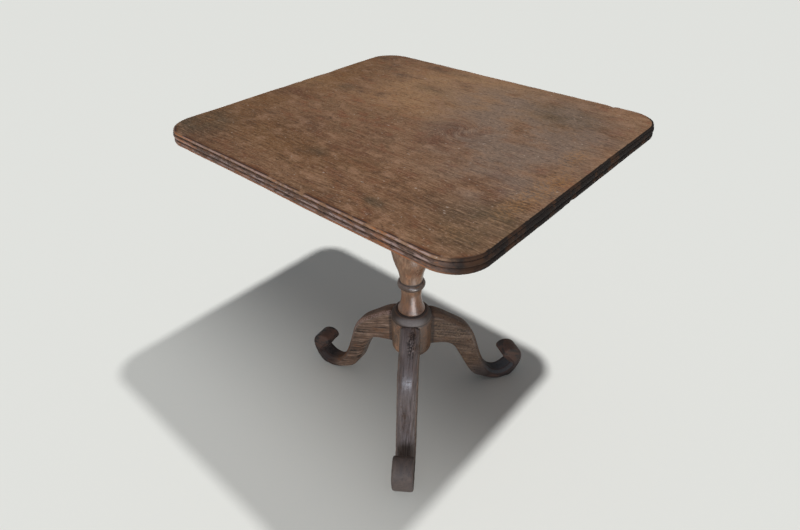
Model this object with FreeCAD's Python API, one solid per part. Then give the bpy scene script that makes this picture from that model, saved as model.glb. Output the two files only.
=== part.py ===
import FreeCAD, Part
import math
import os

# Tilt-top tripod table, in millimetres.
# The origin lies on the floor under the middle of the top. +Z is up, +X runs along the
# grain of the top, and the front edge of the top faces -Y.

# Overall size
table_height = 740.0
top_length = 654.0
top_width = 587.0
top_thickness = 20.6

# The pillar stands a little off the middle of the top, to the left and to the back
stand_x = -20.0
stand_y = 20.0

# Moulded edge of the top: three beads parted by two quirks, all inside one strip
corner_radius = 56.0
edge_strip = 18.0
arris_inset = 4.2
upper_bead_inset = 1.5
upper_bead_depth = 2.0
quirk_inset = 2.9
upper_quirk_depth = 4.4
lower_quirk_depth = 13.7
lower_bead_inset = 0.5
lower_bead_depth = 17.0
under_arris_inset = 2.6

# Tilt block: the square block on the pillar that the top turns on
block_side = 150.0
block_thickness = 34.0
block_edge_chamfer = 3.0
tilt_clearance = 0.3
pintle_radius = 10.0
pintle_clearance = 0.1
pintle_end_gap = 0.5

# Bearers: two battens across the grain, one on each side of the block
bearer_length = 460.0
bearer_thickness = 28.0
bearer_side_gap = 0.5
bearer_end_height = 15.0
bearer_taper_length = 62.0
bearer_screw_place_shares = (-0.33, 0.09, 0.33)

# Wood screws with slotted countersunk heads
screw_head_radius = 4.6
screw_shank_radius = 2.2
screw_head_depth = 3.2
screw_tip_length = 5.0
screw_bite = 11.0
slot_width = 1.2
slot_depth = 1.4

# Turn-button that locks the top down, and the small block that carries it
button_block_length = 62.0
button_block_width = 40.0
button_block_gap = 3.0
button_length = 92.0
button_width = 24.0
button_thickness = 12.0
button_gap = 0.5
button_chamfer = 2.0
button_screw_place_share = 0.38
pivot_screw_radius = 2.3
pivot_hole_clearance = 0.1
pivot_head_radius = 5.5
pivot_head_height = 3.2
pivot_head_round = 2.0
pivot_head_gap = 0.3
pivot_screw_bite = 22.0

# Pillar, turned: radii and levels above the floor, from the hub up to the collar
hub_radius = 44.3
hub_wall_low = 192.0
hub_dome_depth = 20.0
hub_dome_steps = 6
hub_wall_high = 276.0
rim_radius = 45.6
rim_rise = 3.0
shoulder_rise = 18.6
shoulder_mid_radius = 41.6
shoulder_mid_rise = 12.6
shoulder_top_radius = 33.4
foot_quirk_radius = 29.6
foot_quirk_drop = 0.9
foot_radius = 30.2
foot_height = 4.6
waist_radius = 22.2
waist_end_radius = 25.2
ring_low = 358.4
ring_radius = 30.7
ring_seat_radius = 26.6
ring_seat_rise = 1.6
ring_height = 15.6
ring_quirk_height = 2.6
vase_foot_radius = 25.0
swell_radius = 43.6
neck_radius = 27.0

# Pillar, top end: levels below the tilt block
collar_drop = 40.0
collar_radius = 33.5
collar_half_height = 7.5
collar_seat_radius = 28.2
capital_neck_drop = 30.5
capital_mid_radius = 30.6
capital_mid_drop = 16.5
capital_lip_drop = 8.6
capital_lip_radius = 38.0
capital_radius = 40.0
tenon_radius = 20.0
tenon_top_gap = 0.4
wedge_depth = 26.0
wedge_thick = 3.4
wedge_thin = 1.0

# Outline points between two named ends of a turned stretch:
# share of the way from the lower to the upper radius span, share of the stretch's height
column_shares = ((0.80, 0.06), (0.44, 0.20), (0.16, 0.37), (0.01, 0.58), (0.02, 0.76))
vase_shares = ((0.06, 0.045), (0.20, 0.095), (0.44, 0.150), (0.71, 0.212), (0.88, 0.270),
               (0.985, 0.345), (0.985, 0.430), (0.86, 0.560), (0.60, 0.710), (0.30, 0.860))

# Legs
leg_reach = 297.0
front_leg_reach = 291.0
leg_thickness = 45.0
leg_crest_rise = 1.5
leg_chamfer = 9.0
leg_azimuths = {"leg_front": -53.4, "leg_right": 61.25, "leg_left": 188.75}
leg_reaches = {"leg_front": front_leg_reach, "leg_right": leg_reach, "leg_left": leg_reach}

# Leg outline: share of the way from the hub to the reach, share of the crest's height
leg_root_high_share = 0.9946
leg_root_low_share = 0.692
leg_back_shares = ((0.030, 1.000), (0.070, 0.988), (0.148, 0.940), (0.236, 0.872), (0.332, 0.798),
                   (0.398, 0.736), (0.446, 0.664), (0.480, 0.578), (0.508, 0.488), (0.536, 0.400),
                   (0.566, 0.318), (0.602, 0.243), (0.648, 0.170), (0.702, 0.116), (0.764, 0.090),
                   (0.826, 0.092), (0.868, 0.112))
leg_throat_share = (0.888, 0.136)
leg_lip_share = (0.806, 0.252)
leg_belly_shares = ((0.790, 0.285), (0.799, 0.320), (0.838, 0.343), (0.892, 0.340), (0.941, 0.318),
                    (0.980, 0.281), (0.999, 0.230), (0.995, 0.165), (0.972, 0.100), (0.934, 0.043),
                    (0.887, 0.006), (0.826, -0.008), (0.764, 0.004), (0.672, 0.036), (0.595, 0.079),
                    (0.529, 0.121), (0.471, 0.167), (0.433, 0.218), (0.394, 0.290), (0.340, 0.402),
                    (0.293, 0.499), (0.255, 0.568), (0.212, 0.618), (0.158, 0.652), (0.085, 0.676))

# Leg joints: a tenon in the hub, and one peg through each tenon
tenon_thickness = 16.0
tenon_shoulder = 11.0
tenon_end_reach = 14.0
housing_gap = 1.5
peg_radius = 4.0
peg_reach = 26.0
peg_blind_length = 15.0
peg_proud = 0.5
peg_front_level = 244.0
peg_right_level = 246.0
peg_left_level = 222.0
peg_levels = {"leg_front": peg_front_level, "leg_right": peg_right_level, "leg_left": peg_left_level}
peg_sides = {"leg_front": 1, "leg_right": 1, "leg_left": -1}

# Overrun of a cutting solid past the face that it opens
overrun = 5.0

# Places worked out from the sizes above
underside = table_height - top_thickness
block_low = underside - block_thickness
pivot_level = underside - block_thickness / 2
pivot_y = stand_y - block_side / 2 + block_thickness / 2
bearer_inner = block_side / 2 + bearer_side_gap
shoulder_top = hub_wall_high + shoulder_rise
collar_level = block_low - collar_drop
leg_crest = hub_wall_high + leg_crest_rise
leg_seat = math.sqrt(hub_radius ** 2 - (leg_thickness / 2) ** 2)
button_y = stand_y + block_side / 2 + button_block_gap + button_block_width / 2
screw_length = block_thickness + screw_bite

ORIGIN = FreeCAD.Vector(0, 0, 0)
AXIS_X = FreeCAD.Vector(1, 0, 0)
AXIS_Y = FreeCAD.Vector(0, 1, 0)
AXIS_Z = FreeCAD.Vector(0, 0, 1)


def vec(x, y, z):
    return FreeCAD.Vector(x, y, z)


def box(low, high):
    """Box from its lowest to its highest corner."""
    return Part.makeBox(high[0] - low[0], high[1] - low[1], high[2] - low[2], vec(*low))


def rod(radius, length, base, axis=AXIS_Z):
    """Cylinder from the middle of one end, along an axis."""
    return Part.makeCylinder(radius, length, vec(*base), axis)


def on_stand(shape):
    """Move a shape from the pillar's own axis to the pillar's place under the top."""
    return shape.translated(vec(stand_x, stand_y, 0))


def smooth(points):
    """Edge through the points."""
    curve = Part.BSplineCurve()
    curve.interpolate(points)
    return curve.toShape()


def line(start, end):
    return Part.LineSegment(start, end).toShape()


def arc(start, middle, end):
    return Part.Arc(start, middle, end).toShape()


# Top slab

def moulding_face(reach):
    """Section of the edge strip in the XZ plane, with its widest line at x = reach."""
    def at(inset, depth):
        return vec(reach - inset, 0, table_height - depth)

    middle_depth = (upper_quirk_depth + lower_quirk_depth) / 2
    inner_top = at(edge_strip, 0)
    inner_low = at(edge_strip, top_thickness)
    arris = at(arris_inset, 0)
    upper_quirk = at(quirk_inset, upper_quirk_depth)
    lower_quirk = at(quirk_inset, lower_quirk_depth)
    under_arris = at(under_arris_inset, top_thickness)
    edges = [
        line(inner_low, inner_top),
        line(inner_top, arris),
        arc(arris, at(upper_bead_inset, upper_bead_depth), upper_quirk),
        arc(upper_quirk, at(0, middle_depth), lower_quirk),
        arc(lower_quirk, at(lower_bead_inset, lower_bead_depth), under_arris),
        line(under_arris, inner_low),
    ]
    return Part.Face(Part.Wire(edges))


def edge_strips():
    """Four straight strips and four quarter turns of the same moulding."""
    strips = []
    sides = ((0, top_length, top_width), (90, top_width, top_length),
             (180, top_length, top_width), (270, top_width, top_length))
    for turn, across, along in sides:
        run = along - 2 * corner_radius
        strip = moulding_face(across / 2).extrude(vec(0, run, 0))
        strip.translate(vec(0, -run / 2, 0))
        strip.rotate(ORIGIN, AXIS_Z, turn)
        strips.append(strip)
    corners = ((0, 1, 1), (90, -1, 1), (180, -1, -1), (270, 1, -1))
    for turn, side_x, side_y in corners:
        strip = moulding_face(corner_radius).revolve(ORIGIN, AXIS_Z, 90)
        strip.rotate(ORIGIN, AXIS_Z, turn)
        centre_x = side_x * (top_length / 2 - corner_radius)
        centre_y = side_y * (top_width / 2 - corner_radius)
        strip.translate(vec(centre_x, centre_y, 0))
        strips.append(strip)
    return strips


def tabletop():
    half_x = top_length / 2 - edge_strip
    half_y = top_width / 2 - edge_strip
    plate = box((-half_x, -half_y, underside), (half_x, half_y, table_height))
    upright = [e for e in plate.Edges if e.BoundBox.ZLength > top_thickness / 2]
    plate = plate.makeFillet(corner_radius - edge_strip, upright)
    slab = plate.multiFuse(edge_strips()).removeSplitter()
    for hole in bearer_screws(-1, False) + bearer_screws(1, False) + block_screws(False):
        slab = slab.cut(hole)
    return slab


# Screws

def wood_screw(length, place, slotted):
    """Screw driven upwards, its flat head level with the wood at its lower end."""
    head = Part.makeCone(screw_head_radius, screw_shank_radius, screw_head_depth)
    shank_length = length - screw_head_depth - screw_tip_length
    shank = rod(screw_shank_radius, shank_length, (0, 0, screw_head_depth))
    tip_base = vec(0, 0, length - screw_tip_length)
    tip = Part.makeCone(screw_shank_radius, 0, screw_tip_length, tip_base)
    screw = head.fuse([shank, tip]).removeSplitter()
    if slotted:
        half = slot_width / 2
        slot = box((-screw_head_radius, -half, -overrun), (screw_head_radius, half, slot_depth))
        screw = screw.cut(slot)
    return screw.translated(vec(*place))


def bearer_screws(side, slotted):
    """The three screws of one bearer, side -1 for the left one."""
    x = stand_x + side * (bearer_inner + bearer_thickness / 2)
    screws = []
    for share in bearer_screw_place_shares:
        screws.append(wood_screw(screw_length, (x, share * bearer_length, block_low), slotted))
    return screws


def block_screws(slotted):
    """The two screws of the button block."""
    screws = []
    for side in (-1, 1):
        x = stand_x + side * button_screw_place_share * button_block_length
        screws.append(wood_screw(screw_length, (x, button_y, block_low), slotted))
    return screws


# Tilting parts under the slab

def bearer(side):
    """Batten with tapered ends and the hole that turns on the block's pintle."""
    half = bearer_length / 2
    flat = half - bearer_taper_length
    end_low = underside - bearer_end_height
    outline = [vec(0, -half, underside), vec(0, -half, end_low), vec(0, -flat, block_low),
               vec(0, flat, block_low), vec(0, half, end_low), vec(0, half, underside)]
    face = Part.Face(Part.makePolygon(outline + outline[:1]))
    batten = face.extrude(vec(bearer_thickness, 0, 0))
    inner = stand_x + side * bearer_inner
    low_x = min(inner, inner + side * bearer_thickness)
    batten.translate(vec(low_x, 0, 0))
    eye = rod(pintle_radius + pintle_clearance, bearer_thickness + 2 * overrun,
              (low_x - overrun, pivot_y, pivot_level), AXIS_X)
    batten = batten.cut(eye)
    for hole in bearer_screws(side, False):
        batten = batten.cut(hole)
    return batten


def button_block():
    half_x = button_block_length / 2
    half_y = button_block_width / 2
    block = box((stand_x - half_x, button_y - half_y, block_low),
                (stand_x + half_x, button_y + half_y, underside))
    lower = [e for e in block.Edges if e.BoundBox.ZMax < block_low + block_edge_chamfer / 2]
    block = block.makeChamfer(block_edge_chamfer, lower)
    block = block.cut(rod(pivot_screw_radius, pivot_screw_bite + overrun,
                          (stand_x, button_y, block_low - overrun)))
    for hole in block_screws(False):
        block = block.cut(hole)
    return block


def turn_button():
    """Flat wooden button with round ends, lying along X when it is open."""
    top = block_low - button_gap
    low = top - button_thickness
    arm = button_length / 2 - button_width / 2
    half = button_width / 2
    body = box((-arm, -half, low), (arm, half, top))
    for side in (-1, 1):
        body = body.fuse(rod(half, button_thickness, (side * arm, 0, low)))
    body = body.removeSplitter()
    rims = [e for e in body.Edges if e.BoundBox.ZLength < button_thickness / 2]
    body = body.makeChamfer(button_chamfer, rims)
    body = body.cut(rod(pivot_screw_radius + pivot_hole_clearance,
                        button_thickness + 2 * overrun, (0, 0, low - overrun)))
    return body.translated(vec(stand_x, button_y, 0))


def pivot_screw():
    """Round-headed screw that the button turns on."""
    head_top = block_low - button_gap - button_thickness - pivot_head_gap
    head = rod(pivot_head_radius, pivot_head_height, (0, 0, head_top - pivot_head_height))
    rim = [e for e in head.Edges if e.BoundBox.ZMax < head_top - pivot_head_height / 2]
    head = head.makeFillet(pivot_head_round, rim)
    half = slot_width / 2
    slot_top = head_top - pivot_head_height + slot_depth
    head = head.cut(box((-pivot_head_radius, -half, head_top - pivot_head_height - overrun),
                        (pivot_head_radius, half, slot_top)))
    shank = rod(pivot_screw_radius, block_low + pivot_screw_bite - head_top, (0, 0, head_top))
    return head.fuse(shank).removeSplitter().translated(vec(stand_x, button_y, 0))


# Stand

def tilt_block():
    """Square block with a rounded front edge and a pintle turned on each side of it."""
    half = block_side / 2
    front = -half + block_thickness / 2
    body = box((-half, front, block_low), (half, half, underside))
    lower = [e for e in body.Edges if e.BoundBox.ZMax < block_low + block_edge_chamfer / 2
             and e.BoundBox.YMin > front - overrun / 2 and e.BoundBox.YMax > half / 2
             and e.BoundBox.YLength < half / 2]
    body = body.makeChamfer(block_edge_chamfer, lower)
    nose = rod(block_thickness / 2 - tilt_clearance, block_side, (-half, front, pivot_level), AXIS_X)
    reach = bearer_inner + bearer_thickness - pintle_end_gap
    pintles = rod(pintle_radius, 2 * reach, (-reach, front, pivot_level), AXIS_X)
    body = body.fuse([nose, pintles]).removeSplitter()
    body = body.cut(rod(tenon_radius, block_thickness + 2 * overrun, (0, 0, block_low - overrun)))
    return on_stand(body)


def between(low_radius, high_radius, low_level, high_level, shares):
    """Outline points of a turned stretch, from shares of its radii and of its height."""
    points = []
    for radius_share, level_share in shares:
        radius = low_radius + radius_share * (high_radius - low_radius)
        points.append(vec(radius, 0, low_level + level_share * (high_level - low_level)))
    return points


def pillar_outline():
    """Edges of the pillar's section, from the bottom of the hub up to the tenon's end."""
    def at(radius, level):
        return vec(radius, 0, level)

    dome = []
    for step in range(hub_dome_steps + 1):
        angle = step * math.pi / 2 / hub_dome_steps
        level = hub_wall_low - hub_dome_depth * math.cos(angle)
        dome.append(at(hub_radius * math.sin(angle), level))
    rim = at(rim_radius, hub_wall_high + rim_rise)
    shoulder = at(shoulder_top_radius, shoulder_top)
    quirk = at(foot_quirk_radius, shoulder_top - foot_quirk_drop)
    foot = at(foot_radius, shoulder_top + foot_height)
    waist_end = at(waist_end_radius, ring_low)
    column = between(waist_radius, foot_radius, foot.z, ring_low, column_shares)
    ring_seat = at(ring_seat_radius, ring_low + ring_seat_rise)
    ring_top = at(ring_seat_radius, ring_low + ring_height)
    ring_middle = at(ring_radius, (ring_seat.z + ring_top.z) / 2)
    vase_foot = at(vase_foot_radius, ring_top.z + ring_quirk_height)
    vase_end = at(neck_radius, collar_level - collar_half_height)
    vase = between(vase_foot_radius, swell_radius, vase_foot.z, vase_end.z, vase_shares)
    collar_foot = at(collar_seat_radius, vase_end.z)
    collar_top = at(collar_seat_radius, collar_level + collar_half_height)
    capital_neck = at(neck_radius, block_low - capital_neck_drop)
    capital_lip = at(capital_lip_radius, block_low - capital_lip_drop)
    capital_low = at(capital_radius, capital_lip.z)
    capital_top = at(capital_radius, block_low)
    tenon_foot = at(tenon_radius, block_low)
    tenon_end = at(tenon_radius, underside - tenon_top_gap)
    return [
        smooth(dome),
        line(at(hub_radius, hub_wall_low), at(hub_radius, hub_wall_high)),
        line(at(hub_radius, hub_wall_high), rim),
        arc(rim, at(shoulder_mid_radius, hub_wall_high + shoulder_mid_rise), shoulder),
        line(shoulder, quirk),
        line(quirk, at(foot_radius, shoulder_top)),
        line(at(foot_radius, shoulder_top), foot),
        smooth([foot] + column + [waist_end]),
        line(waist_end, ring_seat),
        arc(ring_seat, ring_middle, ring_top),
        line(ring_top, vase_foot),
        smooth([vase_foot] + vase + [vase_end]),
        line(vase_end, collar_foot),
        arc(collar_foot, at(collar_radius, collar_level), collar_top),
        line(collar_top, capital_neck),
        arc(capital_neck, at(capital_mid_radius, block_low - capital_mid_drop), capital_lip),
        line(capital_lip, capital_low),
        line(capital_low, capital_top),
        line(capital_top, tenon_foot),
        line(tenon_foot, tenon_end),
        line(tenon_end, at(0, tenon_end.z)),
        line(at(0, tenon_end.z), dome[0]),
    ]


def wedge():
    """Wedge driven into a saw cut across the tenon, on the pillar's own axis."""
    top = underside - tenon_top_gap
    wide = wedge_thick / 2
    narrow = wedge_thin / 2
    outline = [vec(-wide, 0, top), vec(wide, 0, top), vec(narrow, 0, top - wedge_depth),
               vec(-narrow, 0, top - wedge_depth)]
    face = Part.Face(Part.makePolygon(outline + outline[:1]))
    blade = face.extrude(vec(0, 2 * tenon_radius, 0)).translated(vec(0, -tenon_radius, 0))
    return blade.common(rod(tenon_radius, wedge_depth, (0, 0, top - wedge_depth)))


def in_leg_place(shape, name):
    """Turn a shape from the XZ plane to the leg's azimuth about the pillar's axis."""
    turned = shape.copy()
    turned.rotate(ORIGIN, AXIS_Z, leg_azimuths[name])
    return turned


def leg_tenon():
    half = tenon_thickness / 2
    low = leg_root_low_share * leg_crest + tenon_shoulder
    high = leg_root_high_share * leg_crest - tenon_shoulder
    return box((tenon_end_reach, -half, low), (leg_seat, half, high))


def leg_housing():
    """Room that the hub gives up for the leg's shoulder."""
    half = leg_thickness / 2
    low = leg_root_low_share * leg_crest - housing_gap
    return box((leg_seat, -half, low), (leg_seat + hub_radius, half, leg_crest * leg_root_high_share))


def peg_rod(name):
    """Peg's full round, square to the leg's plane, longer than the hub is deep."""
    side = peg_sides[name]
    base = (peg_reach, -side * peg_blind_length, peg_levels[name])
    return rod(peg_radius, peg_blind_length + hub_radius, base, AXIS_Y * side)


def leg_body(name):
    """Leg with its scroll foot, cut from a plank, both back arrises taken off."""
    span = leg_reaches[name] - leg_seat

    def at(shares):
        return vec(leg_seat + shares[0] * span, 0, shares[1] * leg_crest)

    root_high = vec(leg_seat, 0, leg_root_high_share * leg_crest)
    root_low = vec(leg_seat, 0, leg_root_low_share * leg_crest)
    throat = at(leg_throat_share)
    lip = at(leg_lip_share)
    back = smooth([root_high] + [at(s) for s in leg_back_shares] + [throat])
    belly = smooth([lip] + [at(s) for s in leg_belly_shares] + [root_low])
    face = Part.Face(Part.Wire([back, line(throat, lip), belly, line(root_low, root_high)]))
    plank = face.extrude(vec(0, leg_thickness, 0)).translated(vec(0, -leg_thickness / 2, 0))
    arrises = [e for e in plank.Edges if abs(e.Length - back.Length) < overrun / 100
               and e.BoundBox.YLength < leg_thickness / 2]
    plank = plank.makeChamfer(leg_chamfer, arrises)
    floor = box((0, -leg_thickness, -overrun), (leg_reaches[name], leg_thickness, 0))
    return plank.cut(floor)


def leg(name):
    """Leg with its tenon, scribed to fit under the rim of the hub."""
    shape = leg_body(name).fuse(leg_tenon()).removeSplitter().cut(peg_rod(name))
    turned = in_leg_place(shape, name)
    return on_stand(turned.cut(rod(rim_radius, shoulder_rise, (0, 0, hub_wall_high))))


def leg_peg(name):
    """Peg cut off just proud of the hub's round."""
    hub = rod(hub_radius + peg_proud, hub_wall_high, (0, 0, 0))
    return on_stand(in_leg_place(peg_rod(name).common(hub), name))


def pillar():
    section = Part.Face(Part.Wire(pillar_outline()))
    shape = section.revolve(ORIGIN, AXIS_Z, 360)
    for name in leg_azimuths:
        for room in (leg_housing(), leg_tenon(), peg_rod(name)):
            shape = shape.cut(in_leg_place(room, name))
    return on_stand(shape.cut(wedge()))


def export(name, shape):
    """Write one node and print what it holds."""
    solids = len(shape.Solids)
    print(name, "solids", solids, "valid", shape.isValid(), "volume", round(shape.Volume))
    shape.exportStep("parts/" + name + ".step")


os.makedirs("parts", exist_ok=True)
export("tabletop", tabletop())
for bearer_name, bearer_side in (("left", -1), ("right", 1)):
    export("bearer_" + bearer_name, bearer(bearer_side))
    export("bearer_screws_" + bearer_name, Part.makeCompound(bearer_screws(bearer_side, True)))
export("button_block", button_block())
export("button_block_screws", Part.makeCompound(block_screws(True)))
export("button_pivot_screw", pivot_screw())
export("turn_button", turn_button())
export("tilt_block", tilt_block())
export("pillar", pillar())
export("tenon_wedge", on_stand(wedge()))
for leg_name in leg_azimuths:
    export(leg_name, leg(leg_name))
    export(leg_name.replace("leg", "peg"), leg_peg(leg_name))
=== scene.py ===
# %% [markdown]
# # An old tilt-top table, dressed
#
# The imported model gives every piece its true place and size. This lesson puts worn, hand-made
# surfaces in the place of the plain solids that show most: the moulded top, the turned pillar
# and the three scroll-footed legs. It then gives every piece a finish made of nodes: old oiled
# hardwood, dark end grain and rusted iron.
#
# The sizes of the table are in millimetres, as a cabinet maker gives them. They turn to metres
# where a mesh is made, because Blender counts in metres. The floor, the lamps and the camera are
# placed in metres from the start.

import bpy
import numpy as np
from mathutils import Euler, Matrix, Vector


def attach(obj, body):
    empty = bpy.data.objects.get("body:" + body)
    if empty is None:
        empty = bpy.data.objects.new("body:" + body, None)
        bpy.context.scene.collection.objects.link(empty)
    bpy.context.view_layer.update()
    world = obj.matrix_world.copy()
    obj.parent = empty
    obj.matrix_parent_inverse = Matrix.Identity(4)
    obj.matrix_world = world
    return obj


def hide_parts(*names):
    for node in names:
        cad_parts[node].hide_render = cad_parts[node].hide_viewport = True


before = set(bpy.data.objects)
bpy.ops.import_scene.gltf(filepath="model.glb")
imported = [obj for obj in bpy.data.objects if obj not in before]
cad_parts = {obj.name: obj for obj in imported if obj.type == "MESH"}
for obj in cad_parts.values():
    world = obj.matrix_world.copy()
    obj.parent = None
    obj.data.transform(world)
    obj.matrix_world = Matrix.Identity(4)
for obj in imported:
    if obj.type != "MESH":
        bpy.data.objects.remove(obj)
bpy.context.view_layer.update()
print("nodes in the packed model:", len(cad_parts))

# %% [markdown]
# ## From an array of points to a mesh
#
# Each new piece is a grid of points: rows along the piece, columns around it. The last column
# joins the first, and a single point closes each end, so every piece is a closed skin with no
# seam. Which way the faces point is read from the volume that the skin encloses: it comes out
# negative when they point inwards, and then they are turned round.

# %% Closed skin from a grid
MILLIMETRE = 0.001


def closed_faces(rows, columns):
    """Corner numbers of the squares between rows and of the triangles that close both ends."""
    number = np.arange(rows * columns).reshape(rows, columns)
    right = np.roll(number, -1, axis=1)
    squares = np.stack([number[:-1], right[:-1], right[1:], number[1:]], axis=-1).reshape(-1, 4)
    first = np.full(columns, rows * columns)
    start = np.stack([first, right[0], number[0]], axis=-1)
    end = np.stack([first + 1, number[-1], right[-1]], axis=-1)
    return squares, np.concatenate([start, end])


def enclosed_volume(points, squares, triangles):
    """Sum of the corner products of all triangles, over six: positive if faces point out."""
    halves = np.concatenate([squares[:, :3], squares[:, [0, 2, 3]], triangles])
    corner = points[halves]
    return np.einsum("ij,ij->", corner[:, 0], np.cross(corner[:, 1], corner[:, 2])) / 6


def skin(name, grid, fields):
    """Mesh object of a grid of points in mm, with one value or vector per point for each field.

    The point that closes an end is the mean of the row there.
    """
    rows, columns = grid.shape[:2]

    def with_ends(values):
        flat = values.reshape(rows * columns, -1)
        return np.concatenate([flat, flat[:columns].mean(0)[None], flat[-columns:].mean(0)[None]])

    points = with_ends(grid)
    squares, triangles = closed_faces(rows, columns)
    if enclosed_volume(points, squares, triangles) < 0:
        squares = squares[:, ::-1]
        triangles = triangles[:, ::-1]
    mesh = bpy.data.meshes.new(name)
    mesh.from_pydata((points * MILLIMETRE).tolist(), [], squares.tolist() + triangles.tolist())
    mesh.polygons.foreach_set("use_smooth", np.ones(len(mesh.polygons), bool))
    for field, values in fields.items():
        flat = with_ends(values)
        if flat.shape[1] == 3:
            mesh.attributes.new(field, "FLOAT_VECTOR", "POINT").data.foreach_set("vector", flat.ravel())
        else:
            mesh.attributes.new(field, "FLOAT", "POINT").data.foreach_set("value", flat.ravel())
    mesh.update()
    piece = bpy.data.objects.new(name, mesh)
    bpy.context.scene.collection.objects.link(piece)
    print(name, "faces:", len(mesh.polygons))
    return piece


# %% [markdown]
# ## Curves and unevenness
#
# A few small tools serve all the pieces. One draws a smooth curve through chosen points, as a bent
# spline does on a drawing board, and two more draw a straight line and an arc. The last one is
# unevenness: a sum of waves that run in random directions. Old furniture has it in every surface,
# and a seed for each use makes the result the same each time.

# %% Smooth curve
def smooth_curve(points, count):
    """Natural cubic spline: second derivatives from one linear system, then one cubic per span."""
    points = np.asarray(points, float)
    knots = np.concatenate([[0], np.cumsum(np.linalg.norm(np.diff(points, axis=0), axis=1))])
    gap = np.diff(knots)
    size = len(points)
    system = np.eye(size)
    inside = np.arange(1, size - 1)
    system[inside, inside - 1] = gap[:-1]
    system[inside, inside] = 2 * (gap[:-1] + gap[1:])
    system[inside, inside + 1] = gap[1:]
    slope = np.diff(points, axis=0) / gap[:, None]
    target = np.zeros_like(points)
    target[1:-1] = 6 * np.diff(slope, axis=0)
    bend = np.linalg.solve(system, target)
    at = np.linspace(0, knots[-1], count)
    span = np.clip(np.searchsorted(knots, at, side="right") - 1, 0, size - 2)
    left = (knots[span + 1] - at)[:, None]
    right = (at - knots[span])[:, None]
    wide = gap[span][:, None]
    curve = (bend[span] * left ** 3 + bend[span + 1] * right ** 3) / (6 * wide)
    curve += (points[span] / wide - bend[span] * wide / 6) * left
    curve += (points[span + 1] / wide - bend[span + 1] * wide / 6) * right
    return curve


# %% Line and arc
def straight(start, end, count):
    """Points evenly along a line."""
    return np.linspace(np.asarray(start, float), np.asarray(end, float), count)


def arc_through(start, middle, end, count):
    """Arc of the circle through three points: its centre is equally far from all of them."""
    start, middle, end = (np.asarray(p, float) for p in (start, middle, end))
    system = 2 * np.stack([middle - start, end - start])
    target = np.array([middle @ middle - start @ start, end @ end - start @ start])
    centre = np.linalg.solve(system, target)
    turns = [np.arctan2(*(p - centre)[::-1]) for p in (start, middle, end)]
    turn = np.interp(np.linspace(0, 2, count), (0, 1, 2), np.unwrap(turns))
    radius = np.linalg.norm(start - centre)
    return centre + radius * np.stack([np.cos(turn), np.sin(turn)], axis=-1)


# %% Unevenness
def unevenness(points, length, seed, waves=9):
    """Smooth random values, mostly from -1 to 1: waves within about a third of the given length."""
    chance = np.random.default_rng(seed)
    heading = chance.normal(size=(waves, 3))
    heading /= np.linalg.norm(heading, axis=1)[:, None]
    heading /= (length * chance.uniform(0.7, 1.4, waves))[:, None]
    start = chance.uniform(0, 2 * np.pi, waves)
    return np.sin(points @ heading.T * 2 * np.pi + start).sum(-1) / np.sqrt(waves)


def uneven(points, layers):
    """Sum of layers of unevenness, each with its height in mm, its wavelength and its seed."""
    return sum(height * unevenness(points, length, seed) for height, length, seed in layers)


# %% [markdown]
# ## The tabletop
#
# The top is one wide board with rounded corners. Three beads parted by two narrow quirks run
# round its edge: they were cut with a moulding plane, and the corners with gouges. A profile
# carried round the outline does the same. The rows of the grid start at the middle of the upper
# face, go out to the edge, down over the beads and back in under the board.
#
# A bevel with a profile of its own could make the beads but not the wear, and a boolean cut leaves
# ragged faces. With rows and columns both are simple: each point of the edge moves in a little by
# its own amount.

# %% Sizes of the top
table_height = 740.0
top_length = 654.0
top_width = 587.0
top_thickness = 20.6
corner_radius = 56.0
edge_strip = 18.0
arris_inset = 4.2
upper_bead_inset = 1.5
upper_bead_depth = 2.0
quirk_inset = 2.9
upper_quirk_depth = 3.6
lower_quirk_depth = 12.6
lower_bead_inset = 0.3
lower_bead_depth = 16.4
under_arris_inset = 0.9
quirk_cut = 1.1
outline_columns = 640
print("top:", top_length, "by", top_width, "mm,", top_thickness, "mm thick")


# %% Profile of the moulding
def moulding_profile():
    """Inset from the widest line and depth below the upper face, from the upper arris down."""
    middle_depth = (upper_quirk_depth + lower_quirk_depth) / 2
    quirk_bottom = quirk_inset + quirk_cut
    upper = arc_through((arris_inset, 0), (upper_bead_inset, upper_bead_depth),
                        (quirk_inset, upper_quirk_depth), 12)
    middle = arc_through((quirk_inset, upper_quirk_depth), (0, middle_depth),
                         (quirk_inset, lower_quirk_depth), 20)
    lower = arc_through((quirk_inset, lower_quirk_depth), (lower_bead_inset, lower_bead_depth),
                        (under_arris_inset, top_thickness), 12)
    return np.concatenate([upper, [[quirk_bottom, upper_quirk_depth]], middle,
                           [[quirk_bottom, lower_quirk_depth]], lower])


def rounded_outline(count):
    """Points evenly round the top's outline, and the outward direction at each of them."""
    half = np.array([top_length / 2, top_width / 2]) - corner_radius
    quarter = corner_radius * np.pi / 2
    runs = [2 * half[1], quarter, 2 * half[0], quarter, 2 * half[1], quarter, 2 * half[0], quarter]
    ends = np.concatenate([[0], np.cumsum(runs)])
    corner_x = half[0] * np.array([1, 1, 1, -1, -1, -1, -1, 1, 1])
    corner_y = half[1] * np.array([-1, 1, 1, 1, 1, -1, -1, -1, -1])
    turns = np.pi / 2 * np.array([0, 0, 1, 1, 2, 2, 3, 3, 4])
    at = np.linspace(0, ends[-1], count, endpoint=False)
    turn = np.interp(at, ends, turns)
    outward = np.stack([np.cos(turn), np.sin(turn)], axis=-1)
    centre = np.stack([np.interp(at, ends, corner_x), np.interp(at, ends, corner_y)], axis=-1)
    return centre + corner_radius * outward, outward


# %% Outline and profile of this top
profile = moulding_profile()
outline, outward = rounded_outline(outline_columns)
print("points down the moulding:", len(profile), "around the top:", len(outline))

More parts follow.
